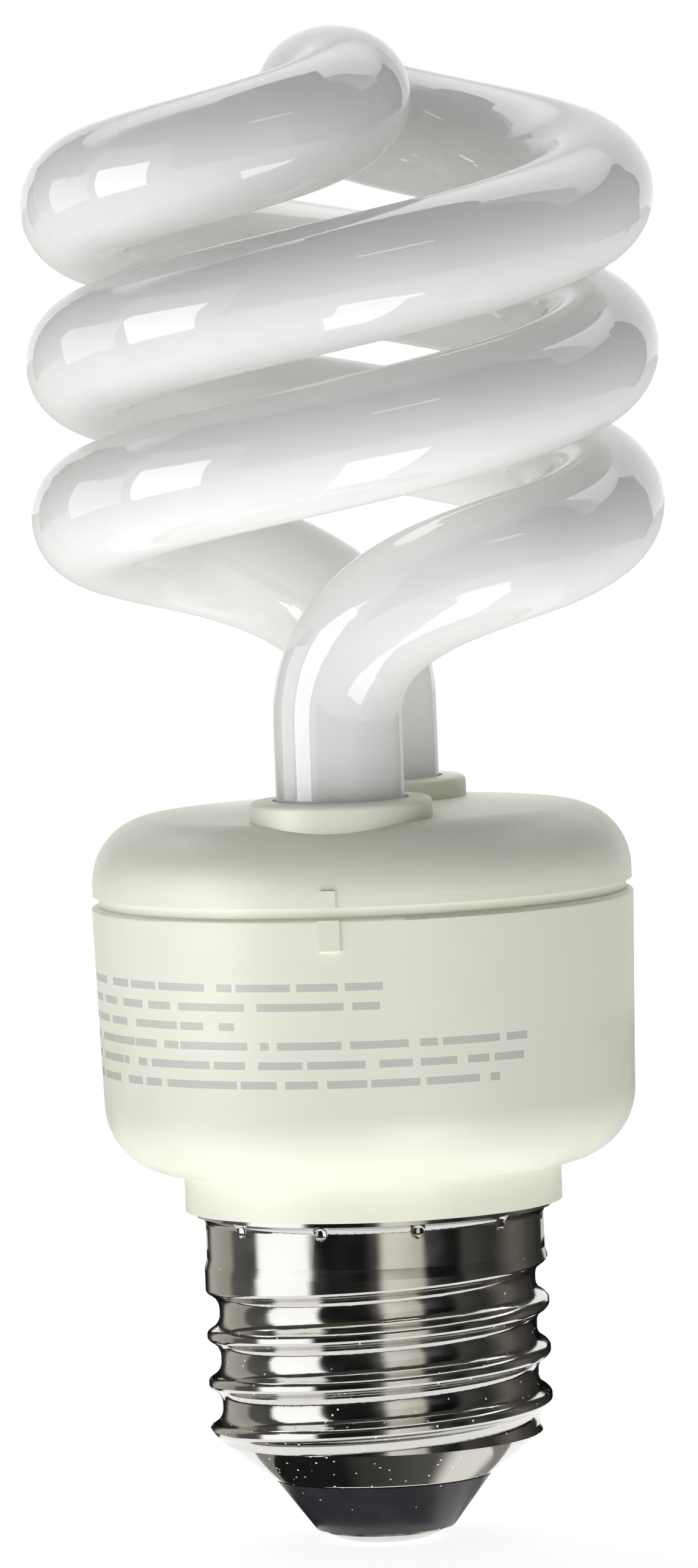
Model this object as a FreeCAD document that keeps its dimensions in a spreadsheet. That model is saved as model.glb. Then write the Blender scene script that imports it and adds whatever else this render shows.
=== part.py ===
import FreeCAD, Part
import math
import os

import Sketcher

# Spiral energy saving lamp with an E26 screw cap.
# The frame: the origin is the tip of the centre contact, +Z runs up the lamp's axis,
# and the two legs of the glass tube stand on the Y axis, the first of them at -Y.

Vector = FreeCAD.Vector
doc = FreeCAD.newDocument("spiral_lamp")
sheet = doc.addObject("Spreadsheet::Sheet", "Sizes")

# Driving sizes, in millimetres, degrees or plain counts

SIZES = [
    # Glass tube
    ("tube_diameter", 9.7),
    ("coil_radius", 19.2),
    ("coil_pitch", 23.6),
    ("coil_start_angle", -29.0),
    ("leg_inset", 6.4),
    ("leg_depth", 8.0),
    ("leg_rise", 6.0),
    ("bend_height", 12.8),
    ("bend_leg_pull", 9.4),
    ("bend_coil_pull", 8.9),
    ("crest_angle", 472.0),
    ("crest_sweep", 86.0),
    ("crest_lift", 1.45),
    ("crest_roundness", 1.8),
    ("crest_lift_power", 3.0),
    ("coil_step", 40.0),
    # Top cover
    ("cover_inset", 0.1),
    ("cover_height", 5.9),
    ("cover_shoulder", 5.0),
    ("cover_wall", 1.5),
    ("collar_radius", 6.9),
    ("collar_height", 1.6),
    ("collar_rounding", 0.5),
    ("socket_depth", 6.4),
    ("tube_gap", 0.3),
    ("cement_depth", 1.1),
    ("cement_radius", 6.0),
    ("shadow_gap", 0.8),
    ("shadow_depth", 0.45),
    ("spigot_wall", 1.4),
    ("spigot_gap", 0.3),
    ("hold_down_gap", 0.25),
    ("lug_count", 4),
    ("lug_width", 5.0),
    ("lug_reach", 0.55),
    ("lug_height", 1.4),
    ("lug_drop", 1.8),
    ("lug_gap", 0.25),
    # Housing cup
    ("case_radius", 20.65),
    ("case_taper", 0.4),
    ("case_wall", 1.55),
    ("case_corner", 5.4),
    ("case_edge", 0.3),
    ("cup_height", 20.5),
    ("neck_radius", 14.4),
    ("neck_height", 3.0),
    ("boss_wall", 1.4),
    ("boss_height", 2.2),
    ("boss_gap", 0.3),
    ("ledge_count", 6),
    ("ledge_width", 1.4),
    ("ledge_reach", 1.2),
    ("mark_reach", 0.25),
    ("cover_mark_width", 1.1),
    ("cover_mark_height", 1.3),
    ("case_mark_width", 1.6),
    ("case_mark_height", 2.3),
    ("case_mark_drop", 0.1),
    # Screw cap
    ("cap_radius", 13.1),
    ("cap_height", 20.9),
    ("cap_mouth", 8.25),
    ("mouth_lip", 0.3),
    ("mouth_rounding", 0.9),
    ("cap_wall", 0.5),
    ("bowl_radius", 12.4),
    ("bowl_height", 3.2),
    ("bowl_rounding", 1.9),
    ("bowl_shoulder", 0.9),
    ("flare_reach", 0.5),
    ("flare_height", 0.6),
    ("flare_rounding", 0.9),
    ("flare_land", 0.4),
    ("band_height", 3.7),
    ("band_step", 0.2),
    ("band_easing", 0.8),
    ("mouth_height", 2.6),
    ("thread_pitch", 3.629),
    ("thread_depth", 1.0),
    ("thread_land", 0.35),
    ("thread_crest_rounding", 0.75),
    ("thread_root_rounding", 1.2),
    ("thread_crest_slope", 25.0),
    ("thread_start", 0.26),
    ("thread_height", 15.1),
    ("dimple_count", 11),
    ("dimple_turn", -11.2),
    ("dimple_radius", 0.7),
    ("dimple_depth", 0.25),
    # Glass insulator and centre contact
    ("insulator_height", 3.9),
    ("insulator_tip_radius", 5.3),
    ("insulator_plug_height", 2.0),
    ("insulator_gap", 0.3),
    ("insulator_hole", 1.8),
    ("contact_height", 1.0),
    ("contact_radius", 4.6),
    ("contact_edge", 0.25),
    ("contact_flat", 2.0),
    ("contact_stem", 1.5),
    ("contact_stem_height", 7.0),
    ("contact_hole", 0.65),
    ("contact_floor", 0.6),
    # Circuit board
    ("board_depth", 7.3),
    ("board_thickness", 1.6),
    ("board_gap", 0.4),
    ("lead_radius", 0.3),
    ("lead_hole_gap", 0.2),
    ("lead_tail", 0.8),
    ("lead_bend", 0.7),
    # Choke
    ("choke_x", -9.4),
    ("core_length", 13.0),
    ("core_width", 5.6),
    ("core_height", 10.7),
    ("core_yoke", 1.9),
    ("core_leg", 2.8),
    ("core_outer_leg", 1.6),
    ("core_board_gap", 0.3),
    ("bobbin_gap", 0.15),
    ("bobbin_wall", 0.6),
    ("bobbin_flange", 0.7),
    ("bobbin_width", 10.4),
    ("bobbin_length", 9.0),
    ("winding_width", 9.8),
    ("winding_length", 8.4),
    ("winding_rounding", 1.6),
    ("choke_pin_spacing", 6.0),
    # Driving transformer
    ("ring_x", 11.8),
    ("ring_outer", 3.2),
    ("ring_inner", 1.9),
    ("ring_height", 3.2),
    ("turn_wire", 0.5),
    ("turn_gap", 0.15),
    ("winding_count", 3),
    ("turn_spread", 26.0),
    # Capacitors
    ("can_x", 3.0),
    ("can_radius", 4.8),
    ("can_height", 16.0),
    ("can_groove", 0.45),
    ("can_groove_drop", 1.6),
    ("can_groove_height", 1.2),
    ("can_edge", 0.6),
    ("can_lead_spacing", 5.0),
    ("film_x", 2.4),
    ("film_y", 10.4),
    ("film_length", 7.4),
    ("film_width", 4.4),
    ("film_height", 8.2),
    ("film_rounding", 1.4),
    ("film_lead_spacing", 5.0),
    # Transistors
    ("transistor_x", 10.2),
    ("transistor_y", 8.3),
    ("transistor_radius", 2.35),
    ("transistor_flat", 1.3),
    ("transistor_height", 4.7),
    ("transistor_stand", 1.5),
    ("transistor_lead_spacing", 1.5),
    # Rectifier diodes
    ("diode_x", -6.4),
    ("diode_near", 8.4),
    ("diode_spacing", 3.2),
    ("diode_radius", 1.25),
    ("diode_length", 4.2),
    ("diode_lead_span", 6.0),
    ("diode_stand", 0.25),
    # Supply wires and the fusible resistor
    ("wire_x", -3.0),
    ("wire_y", 3.0),
    ("wire_bend", 1.5),
    ("neutral_drop", 1.2),
    ("neutral_end_gap", 0.3),
    ("resistor_top", 17.2),
    ("resistor_length", 8.0),
    ("resistor_radius", 1.4),
    ("resistor_cap_radius", 1.6),
    ("resistor_cap_length", 1.6),
    ("sleeve_gap", 0.3),
    ("sleeve_wall", 0.3),
    ("sleeve_overhang", 1.0),
    # Filament pins and leads
    ("pin_spacing", 5.2),
    ("pin_inset", 1.9),
    ("pin_side", 0.6),
    ("pin_height", 3.4),
    ("filament_lead_radius", 0.25),
    ("filament_bend", 0.6),
    ("wrap_gap", 0.06),
    ("wrap_wall", 0.3),
    ("wrap_height", 1.2),
    ("wrap_stand", 1.0),
]

for number, (alias, value) in enumerate(SIZES, start=1):
    sheet.set("A%d" % number, alias.replace("_", " "))
    sheet.set("B%d" % number, str(value))
    sheet.setAlias("B%d" % number, alias)
doc.recompute()


class Size:
    """A size with its number and the sheet expression that drives it."""

    def __init__(self, number, text):
        self.number = float(number)
        self.text = text

    def __add__(self, other):
        other = as_size(other)
        return Size(self.number + other.number, "(%s + %s)" % (self.text, other.text))

    def __sub__(self, other):
        other = as_size(other)
        return Size(self.number - other.number, "(%s - %s)" % (self.text, other.text))

    def __mul__(self, other):
        other = as_size(other)
        return Size(self.number * other.number, "(%s * %s)" % (self.text, other.text))

    def __truediv__(self, other):
        other = as_size(other)
        return Size(self.number / other.number, "(%s / %s)" % (self.text, other.text))

    def __neg__(self):
        return Size(-self.number, "(-%s)" % self.text)


def as_size(value):
    return value if isinstance(value, Size) else Size(value, repr(float(value)))


def size(alias):
    return Size(sheet.get(alias), "Sizes." + alias)


def smaller(one, other):
    return Size(min(one.number, other.number), "min(%s; %s)" % (one.text, other.text))


# The lamp's stack, from the contact's tip upwards

zero = as_size(0.0)
insulator_base = size("contact_height")
cap_base = insulator_base + size("insulator_height")
cap_rim = cap_base + size("cap_height")
cup_base = cap_rim + size("neck_height")
cup_rim = cup_base + size("cup_height")
cover_lip = cup_rim + size("shadow_gap")
cover_top = cover_lip + size("cover_height")
collar_top = cover_top + size("collar_height")
leg_foot = cover_top - size("leg_depth")
leg_top = collar_top + size("leg_rise")
coil_start = leg_top + size("bend_height")
board_seat = cup_rim - size("board_depth")
board_top = board_seat + size("board_thickness")
lead_end = board_top + size("lead_tail")

# Radii that several pieces share

tube_radius = size("tube_diameter") / 2
cup_bore = size("case_radius") - size("case_wall")
cup_foot_radius = size("case_radius") - size("case_taper")
cup_foot_bore = cup_foot_radius - size("case_wall")
corner_height = cup_base + size("case_corner")
corner_bore = size("case_corner") - size("case_wall")
spigot_radius = cup_bore - size("spigot_gap")
spigot_bore = spigot_radius - size("spigot_wall")
leg_offset = spigot_bore - size("leg_inset")
cover_radius = size("case_radius") - size("cover_inset")
band_radius = size("cap_radius") - size("band_step")
band_bore = band_radius - size("cap_wall")
thread_root = size("cap_radius") - size("thread_depth")
thread_bore = thread_root - size("cap_wall")
bowl_bore = smaller(size("bowl_radius") - size("cap_wall"), thread_bore)
boss_radius = band_bore - size("boss_gap")
boss_bore = boss_radius - size("boss_wall")
cap_mouth_bore = size("cap_mouth") - size("cap_wall")

NODES = {}


def keep(name, item):
    """Names a finished piece, which becomes a file of its own."""
    item.Label = name
    NODES[name] = item
    return item


def bind(item, **values):
    for prop, value in values.items():
        item.setExpression(prop.replace("__", "."), as_size(value).text)


# Sketch and solid helpers


def new_body(name):
    return keep(name, doc.addObject("PartDesign::Body", name))


def origin_part(body, role):
    return next(part for part in body.Origin.OriginFeatures if part.Role == role)


def sketch_on(body, plane, name, offset=None):
    sketch = body.newObject("Sketcher::SketchObject", name)
    sketch.AttachmentSupport = (origin_part(body, plane), "")
    sketch.MapMode = "FlatFace"
    if offset is not None:
        bind(sketch, AttachmentOffset__Base__z=offset)
    return sketch


def constrain(sketch, value, kind, *where):
    index = sketch.addConstraint(Sketcher.Constraint(kind, *where, value.number))
    sketch.setExpression("Constraints[%d]" % index, value.text)


def place_point(sketch, shape, end, x, y):
    """Fixes one end of a sketch line or arc at a distance from the sketch's origin."""
    for kind, axis, value in (("DistanceX", -2, as_size(x)), ("DistanceY", -1, as_size(y))):
        if abs(value.number) < 1e-9:
            sketch.addConstraint(Sketcher.Constraint("PointOnObject", shape, end, axis))
        elif value.number > 0:
            constrain(sketch, value, kind, -1, 1, shape, end)
        else:
            constrain(sketch, -value, kind, shape, end, -1, 1)


def arc_between(start, end, radius, turn):
    """The arc from start to end that bends left (turn 1) or right (turn -1)."""
    chord = end - start
    left = Vector(-chord.y, chord.x, 0) * (turn / chord.Length)
    centre = (start + end) * 0.5 + left * math.sqrt(radius * radius - chord.Length**2 / 4)
    first, last = (start, end) if turn > 0 else (end, start)
    circle = Part.Circle(centre, Vector(0, 0, 1), radius)
    return Part.ArcOfCircle(
        circle,
        math.atan2(first.y - centre.y, first.x - centre.x),
        math.atan2(last.y - centre.y, last.x - centre.x),
    )


def draw_outline(sketch, corners):
    """A closed outline. A corner is (x, y), or (x, y, radius, turn) where an arc leads to it."""
    points = [Vector(as_size(c[0]).number, as_size(c[1]).number, 0) for c in corners]
    runs = []
    for index, start in enumerate(points):
        target = (index + 1) % len(points)
        if len(corners[target]) == 2:
            shape = sketch.addGeometry(Part.LineSegment(start, points[target]))
            runs.append((shape, 1, 2))
            continue
        radius, turn = as_size(corners[target][2]), corners[target][3]
        shape = sketch.addGeometry(arc_between(start, points[target], radius.number, turn))
        runs.append((shape, 1, 2) if turn > 0 else (shape, 2, 1))
        constrain(sketch, radius, "Radius", shape)
    for index, (shape, begin, end) in enumerate(runs):
        following, following_begin, _ = runs[(index + 1) % len(runs)]
        sketch.addConstraint(Sketcher.Constraint("Coincident", shape, end, following, following_begin))
        place_point(sketch, shape, begin, corners[index][0], corners[index][1])


def draw_circle(sketch, x, y, radius):
    x, y, radius = as_size(x), as_size(y), as_size(radius)
    shape = sketch.addGeometry(
        Part.Circle(Vector(x.number, y.number, 0), Vector(0, 0, 1), radius.number)
    )
    constrain(sketch, radius, "Radius", shape)
    place_point(sketch, shape, 3, x, y)


def draw_rectangle(sketch, left, right, bottom, top):
    draw_outline(sketch, [(left, bottom), (right, bottom), (right, top), (left, top)])


def turned(body, name, corners):
    """A profile of radius and height, revolved about the lamp's axis."""
    sketch = sketch_on(body, "XZ_Plane", name + "_profile")
    draw_outline(sketch, corners)
    revolution = body.newObject("PartDesign::Revolution", name)
    revolution.Profile = sketch
    revolution.ReferenceAxis = (sketch, ["V_Axis"])
    revolution.Angle = 360
    return revolution


def pad(body, sketch, name, length, midplane=False):
    feature = body.newObject("PartDesign::Pad", name)
    feature.Profile = sketch
    feature.Midplane = midplane
    bind(feature, Length=length)
    return feature


def around(body, name, feature, count):
    """Repeats a feature evenly about the lamp's axis."""
    pattern = body.newObject("PartDesign::PolarPattern", name)
    pattern.Originals = [feature]
    pattern.Axis = (origin_part(body, "Z_Axis"), [""])
    pattern.Angle = 360
    bind(pattern, Occurrences=count)
    body.Tip = pattern
    return pattern


def box(name, x, y, z):
    """A block between the two limits given along each axis."""
    block = doc.addObject("Part::Box", name)
    bind(block, Length=x[1] - x[0], Width=y[1] - y[0], Height=z[1] - z[0])
    bind(block, Placement__Base__x=x[0], Placement__Base__y=y[0], Placement__Base__z=z[0])
    return block


def centred(middle, width):
    middle = as_size(middle)
    return middle - width / 2, middle + width / 2


def cylinder(name, x, y, z, radius):
    """An upright cylinder between two heights."""
    rod = doc.addObject("Part::Cylinder", name)
    bind(rod, Radius=radius, Height=z[1] - z[0])
    bind(rod, Placement__Base__x=x, Placement__Base__y=y, Placement__Base__z=z[0])
    return rod


def cut(name, base, tool):
    result = doc.addObject("Part::Cut", name)
    result.Base = base
    result.Tool = tool
    return result


def fuse(name, shapes):
    result = doc.addObject("Part::MultiFuse", name)
    result.Shapes = shapes
    return result


def rounded_path(points, radius):
    """A wire of straight runs whose corners are tangent arcs."""
    edges = []
    start = points[0]
    for corner, after in zip(points[1:-1], points[2:]):
        into = (corner - start).normalize()
        out = (after - corner).normalize()
        turn = into.getAngle(out)
        reach = radius * math.tan(turn / 2)
        first, last = corner - into * reach, corner + out * reach
        inward = (out - into).normalize()
        middle = corner + inward * (radius / math.cos(turn / 2) - radius)
        edges.append(Part.LineSegment(start, first).toShape())
        edges.append(Part.Arc(first, middle, last).toShape())
        start = last
    edges.append(Part.LineSegment(start, points[-1]).toShape())
    return Part.Wire(edges)


def swept(name, path, radius, foot):
    """A round rod along a path that leaves its foot straight up or down."""
    spine = doc.addObject("Part::Feature", name + "_path")
    spine.Shape = path
    section = doc.addObject("Part::Circle", name + "_section")
    bind(section, Radius=radius)
    bind(section, Placement__Base__x=foot[0], Placement__Base__y=foot[1], Placement__Base__z=foot[2])
    rod = doc.addObject("Part::Sweep", name)
    rod.Sections = [section]
    rod.Spine = (spine, [])
    rod.Solid = True
    return rod


def point(x, y, z):
    return Vector(as_size(x).number, as_size(y).number, as_size(z).number)


# Glass tube: a leg, a bend out to the coil, the coil, and a crest that spirals in to the axis.
# The other half is the same line turned half a turn about the axis.


def coil_point(angle):
    turn = math.radians(angle)
    radius = size("coil_radius").number
    rise = size("coil_pitch").number * (angle - size("coil_start_angle").number) / 360
    return Vector(radius * math.cos(turn), radius * math.sin(turn), coil_start.number + rise)


def direction(curve, place, step):
    return (curve(place + step) - curve(place - step)).normalize()


def bend_point(share):
    """A cubic curve from the top of the leg to the start of the coil."""
    start_angle = size("coil_start_angle").number
    leg = point(0, -leg_offset, leg_top)
    coil = coil_point(start_angle)
    above = leg + Vector(0, 0, size("bend_leg_pull").number)
    before = coil - direction(coil_point, start_angle, 0.01) * size("bend_coil_pull").number
    rest = 1 - share
    return leg * rest**3 + above * (3 * share * rest**2) + before * (3 * share**2 * rest) + coil * share**3


def crest_point(share):
    """From the end of the coil, at share 1, in to the axis, at share 0."""
    inward = 1 - share * share
    end_angle = size("crest_angle").number
    sweep = size("crest_sweep").number
    turn = math.radians(end_angle - sweep * share * share)
    closing = math.sqrt(max(0.0, 1 - inward ** size("crest_roundness").number))
    radius = size("coil_radius").number * math.copysign(closing, share)
    height = coil_point(end_angle - sweep * share * share).z
    height += size("crest_lift").number * inward ** size("crest_lift_power").number
    return Vector(radius * math.cos(turn), radius * math.sin(turn), height)


def tangent_arcs(start, start_way, end, end_way):
    """Two arcs that leave and arrive along the given directions."""
    span = end - start
    ways = start_way + end_way
    spread = 2 * (1 - start_way.dot(end_way))
    along = span.dot(ways)
    if spread < 1e-9:
        reach = span.dot(span) / (2 * along)
    else:
        reach = (math.sqrt(along**2 + spread * span.dot(span)) - along) / spread
    first_corner = start + start_way * reach
    last_corner = end - end_way * reach
    joint = (first_corner + last_corner) * 0.5
    edges = []
    for begin, corner, finish in ((start, first_corner, joint), (joint, last_corner, end)):
        half = (finish - begin).Length / 2
        chord_middle = (begin + finish) * 0.5
        arc_middle = chord_middle + (corner - chord_middle) * (half / (reach + half))
        edges.append(Part.Arc(begin, arc_middle, finish).toShape())
    return edges


def tube_path():
    bend_stations = [0.25, 0.5, 0.75]
    crest_stations = [0.85, 0.7, 0.52, 0.3, 0.0]
    coil_first = size("coil_start_angle").number
    coil_last = size("crest_angle").number - size("crest_sweep").number
    coil_runs = math.ceil((coil_last - coil_first) / size("coil_step").number)
    coil_stations = [coil_first + (coil_last - coil_first) * i / coil_runs for i in range(coil_runs + 1)]
    foot = point(0, -leg_offset, leg_foot)
    knee = point(0, -leg_offset, leg_top)
    stops = [(knee, Vector(0, 0, 1))]
    stops += [(bend_point(s), direction(bend_point, s, 1e-4)) for s in bend_stations]
    stops += [(coil_point(a), direction(coil_point, a, 1e-2)) for a in coil_stations]
    stops += [(crest_point(s), direction(crest_point, s, 1e-4) * -1) for s in crest_stations]
    other_half = [
        (Vector(-place.x, -place.y, place.z), Vector(way.x, way.y, -way.z))
        for place, way in reversed(stops[:-1])
    ]
    stops += other_half
    edges = [Part.LineSegment(foot, knee).toShape()]
    for (start, start_way), (end, end_way) in zip(stops, stops[1:]):
        edges += tangent_arcs(start, start_way, end, end_way)
    far_knee, far_foot = [Vector(-place.x, -place.y, place.z) for place in (knee, foot)]
    edges.append(Part.LineSegment(far_knee, far_foot).toShape())
    return Part.Wire(edges)


tube_line = tube_path()
tube_foot = (zero, -leg_offset, leg_foot)
keep("discharge_tube", swept("discharge_tube", tube_line, tube_radius, tube_foot))

# Top cover: a shallow dome with a spigot into the cup, and a collar round each leg


def make_top_cover():
    body = new_body("top_cover")
    shoulder = size("cover_shoulder")
    wall = size("cover_wall")
    radius = cover_radius
    flat_radius = radius - shoulder
    shadow_radius = radius - size("shadow_depth")
    spigot_foot = board_top + size("hold_down_gap")
    inner_shoulder = shoulder - wall
    inner_flat = spigot_bore - inner_shoulder
    ceiling = cover_top - wall
    turned(body, "dome", [
        (zero, ceiling),
        (inner_flat, ceiling),
        (spigot_bore, ceiling - inner_shoulder, inner_shoulder, -1),
        (spigot_bore, spigot_foot),
        (spigot_radius, spigot_foot),
        (spigot_radius, cup_rim),
        (shadow_radius, cup_rim),
        (shadow_radius, cover_lip),
        (radius, cover_lip),
        (radius, cover_top - shoulder),
        (flat_radius, cover_top, shoulder, 1),
        (zero, cover_top),
    ])
    legs = (-leg_offset, leg_offset)
    socket_foot = cover_top - size("socket_depth")
    sketch = sketch_on(body, "XY_Plane", "collar_circles", socket_foot)
    for y in legs:
        draw_circle(sketch, zero, y, size("collar_radius"))
    collars = pad(body, sketch, "collars", collar_top - socket_foot)
    doc.recompute()
    rims = [
        "Edge%d" % (index + 1)
        for index, edge in enumerate(collars.Shape.Edges)
        if abs(edge.BoundBox.ZMin - collar_top.number) < 1e-6
        and abs(edge.BoundBox.ZMax - collar_top.number) < 1e-6
    ]
    fillet = body.newObject("PartDesign::Fillet", "collar_edges")
    fillet.Base = (collars, rims)
    bind(fillet, Radius=size("collar_rounding"))
    holes = sketch_on(body, "XY_Plane", "leg_circles", leg_foot)
    for y in legs:
        draw_circle(holes, zero, y, tube_radius + size("tube_gap"))
    pocket = body.newObject("PartDesign::Pocket", "leg_holes")
    pocket.Profile = holes
    pocket.Reversed = True
    bind(pocket, Length=collar_top - leg_foot + size("collar_height"))
    catch = cup_rim - size("lug_drop")
    root = spigot_radius - size("spigot_wall") / 2
    lug = sketch_on(body, "XZ_Plane", "lug_profile")
    draw_outline(lug, [
        (root, catch - size("lug_height")),
        (spigot_radius, catch - size("lug_height")),
        (spigot_radius + size("lug_reach"), catch - size("lug_gap")),
        (spigot_radius + size("lug_reach"), catch),
        (root, catch),
    ])
    around(body, "snap_lugs", pad(body, lug, "snap_lug", size("lug_width"), True), size("lug_count"))
    depth = size("case_wall") / 2
    mark = sketch_on(body, "XZ_Plane", "mark_outline", radius - depth)
    half = size("cover_mark_width") / 2
    draw_rectangle(mark, -half, half, cover_lip, cover_lip + size("cover_mark_height"))
    pad(body, mark, "setting_mark", depth + size("mark_reach"))


make_top_cover()

# Housing cup: a drafted wall with a rounded foot, ledges for the board, and a boss inside the cap


def make_housing_cup():
    body = new_body("housing_cup")
    edge = size("case_edge")
    floor_top = cup_base + size("case_wall")
    corner_centre = cup_foot_radius - size("case_corner")
    boss_foot = cap_rim - size("boss_height")
    catch = cup_rim - size("lug_drop") + size("lug_gap")
    groove_foot = catch - size("lug_height") - size("lug_gap") * 2
    groove_radius = spigot_radius + size("lug_reach") + size("lug_gap")
    turned(body, "cup", [
        (cup_bore, cup_rim),
        (cup_bore, catch),
        (groove_radius, catch),
        (groove_radius, groove_foot),
        (cup_bore, groove_foot),
        (cup_foot_bore, corner_height),
        (corner_centre, floor_top, corner_bore, -1),
        (boss_bore, floor_top),
        (boss_bore, boss_foot),
        (boss_radius, boss_foot),
        (boss_radius, cap_rim),
        (size("neck_radius"), cap_rim),
        (size("neck_radius"), cup_base),
        (corner_centre, cup_base),
        (cup_foot_radius, corner_height, size("case_corner"), 1),
        (size("case_radius"), cup_rim - edge),
        (size("case_radius") - edge, cup_rim, edge, 1),
    ])
    mid_wall = size("case_wall") / 2
    ledge_tip = cup_foot_bore - size("ledge_reach")
    bend = size("case_corner") - mid_wall
    ledge_root = cup_foot_radius - mid_wall
    drop = bend.number - math.sqrt(bend.number**2 - (ledge_tip.number - corner_centre.number) ** 2)
    ledge_foot = corner_height - bend + Size(drop, "%.9f" % drop)
    ledge = sketch_on(body, "YZ_Plane", "ledge_profile")
    draw_outline(ledge, [
        (ledge_tip, board_seat),
        (ledge_tip, ledge_foot),
        (ledge_root, corner_height, bend, 1),
        (ledge_root, board_seat),
    ])
    around(body, "ledges", pad(body, ledge, "ledge", size("ledge_width"), True), size("ledge_count"))
    depth = size("case_wall") / 2
    mark = sketch_on(body, "XZ_Plane", "mark_outline", size("case_radius") - depth)
    half = size("case_mark_width") / 2
    top = cup_rim - size("case_mark_drop")
    draw_rectangle(mark, -half, half, top - size("case_mark_height"), top)
    pad(body, mark, "setting_mark", depth + size("mark_reach"))


make_housing_cup()

# Screw cap: a drawn shell with a flared rim, a plain band, a rolled thread and a row of stake marks


def make_screw_shell():
    body = new_body("screw_shell")
    radius = size("cap_radius")
    wall = size("cap_wall")
    flare = radius + size("flare_reach")
    flare_top = cap_rim - size("flare_land")
    flare_foot = flare_top - size("flare_height")
    bowl_top = cap_base + size("bowl_height")
    bowl_run = size("bowl_radius") - size("cap_mouth")
    lip_share = size("mouth_lip").number / math.hypot(bowl_run.number, size("bowl_height").number)
    lip_radius = size("cap_mouth") + bowl_run * lip_share
    lip_top = cap_base + size("bowl_height") * lip_share
    band_foot = cap_rim - size("band_height")
    mouth_foot = cap_rim - size("mouth_height")
    turned(body, "drawn_shell", [
        (cap_mouth_bore, cap_base),
        (size("cap_mouth") - size("mouth_lip"), cap_base),
        (lip_radius, lip_top, size("mouth_rounding"), 1),
        (size("bowl_radius"), bowl_top),
        (radius, bowl_top + size("bowl_shoulder"), size("bowl_rounding"), 1),
        (radius, band_foot - size("band_easing")),
        (band_radius, band_foot),
        (band_radius, flare_foot),
        (flare, flare_top, size("flare_rounding"), -1),
        (flare, cap_rim),
        (flare - wall, cap_rim),
        (band_bore, flare_foot),
        (band_bore, mouth_foot),
        (thread_bore, mouth_foot - size("thread_depth")),
        (thread_bore, bowl_top + size("bowl_shoulder")),
        (bowl_bore, bowl_top),
    ])
    # The groove between two crests: a flat root, rounded into steep flanks, and rounded crests
    slope = math.radians(size("thread_crest_slope").number)
    crest_rounding = size("thread_crest_rounding")
    root_rounding = size("thread_root_rounding")
    half_width = (size("thread_pitch") - size("thread_land")) / 2
    crest_centre_radius = radius - crest_rounding * math.cos(slope)
    crest_centre_side = half_width + crest_rounding * math.sin(slope)
    root_centre_radius = thread_root + root_rounding
    roundings = crest_rounding + root_rounding
    lean = (root_centre_radius - crest_centre_radius).number / roundings.number
    flat_half = crest_centre_side - roundings * math.sqrt(1 - lean**2)
    share = crest_rounding.number / roundings.number
    flank_radius = crest_centre_radius + (root_centre_radius - crest_centre_radius) * share
    flank_side = crest_centre_side - (crest_centre_side - flat_half) * share
    outside = radius + size("thread_depth")
    middle = cap_base + size("thread_start")
    groove = sketch_on(body, "XZ_Plane", "thread_groove")
    draw_outline(groove, [
        (radius, middle - half_width),
        (flank_radius, middle - flank_side, crest_rounding, 1),
        (thread_root, middle - flat_half, root_rounding, -1),
        (thread_root, middle + flat_half),
        (flank_radius, middle + flank_side, root_rounding, -1),
        (radius, middle + half_width, crest_rounding, 1),
        (outside, middle + half_width),
        (outside, middle - half_width),
    ])
    thread = body.newObject("PartDesign::SubtractiveHelix", "rolled_thread")
    thread.Profile = groove
    thread.ReferenceAxis = (groove, ["V_Axis"])
    thread.Mode = "pitch-height-angle"
    thread.HasBeenEdited = True
    bind(thread, Pitch=size("thread_pitch"), Height=size("thread_height"))
    dimple = body.newObject("PartDesign::SubtractiveSphere", "stake_mark")
    bind(dimple, Radius=size("dimple_radius"))
    turn = math.radians(size("dimple_turn").number)
    away = band_radius + size("dimple_radius") - size("dimple_depth")
    bind(dimple, Placement__Base__x=away * math.sin(turn), Placement__Base__y=away * -math.cos(turn))
    bind(dimple, Placement__Base__z=flare_foot)
    around(body, "stake_marks", dimple, size("dimple_count"))


make_screw_shell()


def make_base_insulator():
    body = new_body("base_insulator")
    plug = cap_mouth_bore - size("insulator_gap")
    plug_top = cap_base + size("insulator_plug_height")
    turned(body, "glass", [
        (size("insulator_hole"), insulator_base),
        (size("insulator_tip_radius"), insulator_base),
        (size("cap_mouth"), cap_base),
        (plug, cap_base),
        (plug, plug_top),
        (size("insulator_hole"), plug_top),
    ])


make_base_insulator()


def make_centre_contact():
    body = new_body("centre_contact")
    stem_top = insulator_base + size("contact_stem_height")
    flat = size("contact_flat")
    rim = size("contact_radius")
    rise = (size("contact_height") - size("contact_edge")).number
    width = (rim - flat).number
    dome = Size((width**2 + rise**2) / (2 * rise), "%.9f" % ((width**2 + rise**2) / (2 * rise)))
    turned(body, "eyelet", [
        (zero, zero),
        (flat, zero),
        (rim, insulator_base - size("contact_edge"), dome, 1),
        (rim, insulator_base),
        (size("contact_stem"), insulator_base),
        (size("contact_stem"), stem_top),
        (size("contact_hole"), stem_top),
        (size("contact_hole"), size("contact_floor")),
        (zero, size("contact_floor")),
    ])


make_centre_contact()

# Circuit board and what stands on it. Every lead's place is noted, and the board is drilled there.

LEAD_PLACES = []


def lead_hole(x, y):
    LEAD_PLACES.append((as_size(x), as_size(y)))


def pad_leads(body, name, places, start):
    """Straight leads from a component up through the board."""
    sketch = sketch_on(body, "XY_Plane", name + "_circles", start)
    for x, y in places:
        draw_circle(sketch, x, y, size("lead_radius"))
        lead_hole(x, y)
    pad(body, sketch, name, lead_end - start)


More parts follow.
